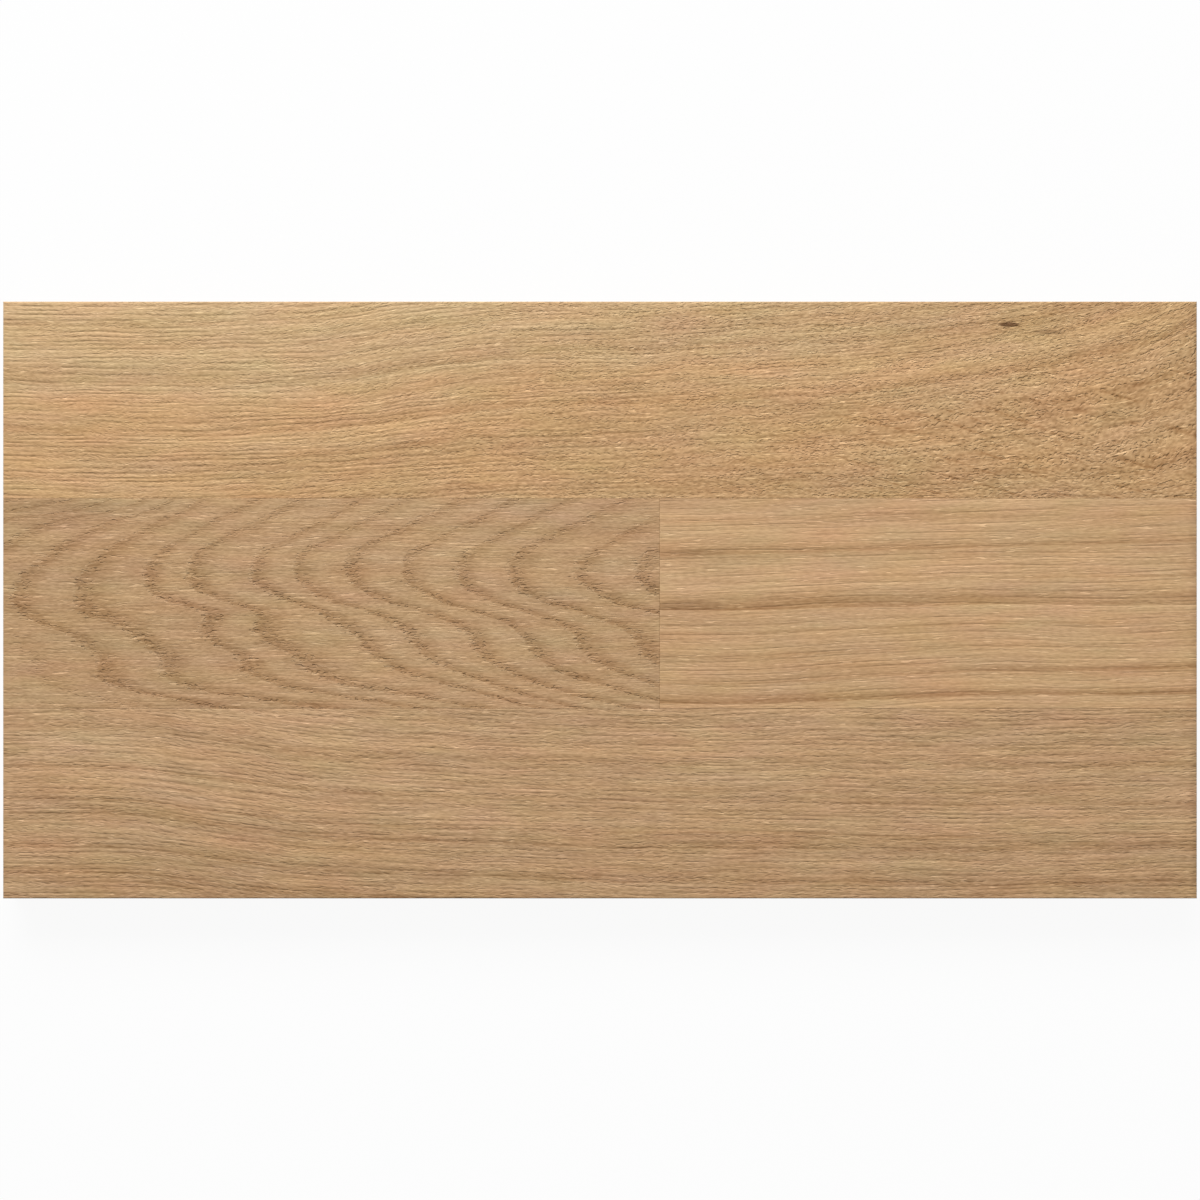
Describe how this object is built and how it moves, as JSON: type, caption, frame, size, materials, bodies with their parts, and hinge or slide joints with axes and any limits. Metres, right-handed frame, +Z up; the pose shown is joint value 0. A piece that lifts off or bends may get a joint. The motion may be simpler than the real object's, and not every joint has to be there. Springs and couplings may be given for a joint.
{
  "type": "parquet floor plank",
  "caption": "Short engineered oak parquet plank: oak strips glued on a slatted spruce core and a backing veneer, with a groove for a loose tongue along every edge.",
  "frame": {"origin": "middle of the underside", "axes": "+X along the plank and its grain, +Y across the strips towards the back row, +Z up out of the oak face"},
  "size_m": [0.4, 0.2, 0.015],
  "materials": {
    "oak_face": "brushed oak under a matt clear lacquer",
    "spruce_core": "sawn spruce",
    "spruce_backing": "peeled spruce veneer, sanded"
  },
  "bodies": {
    "root": {"oak_strip_back": "oak_face", "oak_strip_middle_left": "oak_face", "oak_strip_middle_right": "oak_face", "oak_strip_front": "oak_face", "core_slat_01": "spruce_core", "core_slat_02": "spruce_core", "core_slat_03": "spruce_core", "core_slat_04": "spruce_core", "core_slat_05": "spruce_core", "core_slat_06": "spruce_core", "core_slat_07": "spruce_core", "core_slat_08": "spruce_core", "core_slat_09": "spruce_core", "core_slat_10": "spruce_core", "core_slat_11": "spruce_core", "core_slat_12": "spruce_core", "core_slat_13": "spruce_core", "core_slat_14": "spruce_core", "core_slat_15": "spruce_core", "core_slat_16": "spruce_core", "backing_veneer": "spruce_backing"}
  },
  "joints": []
}
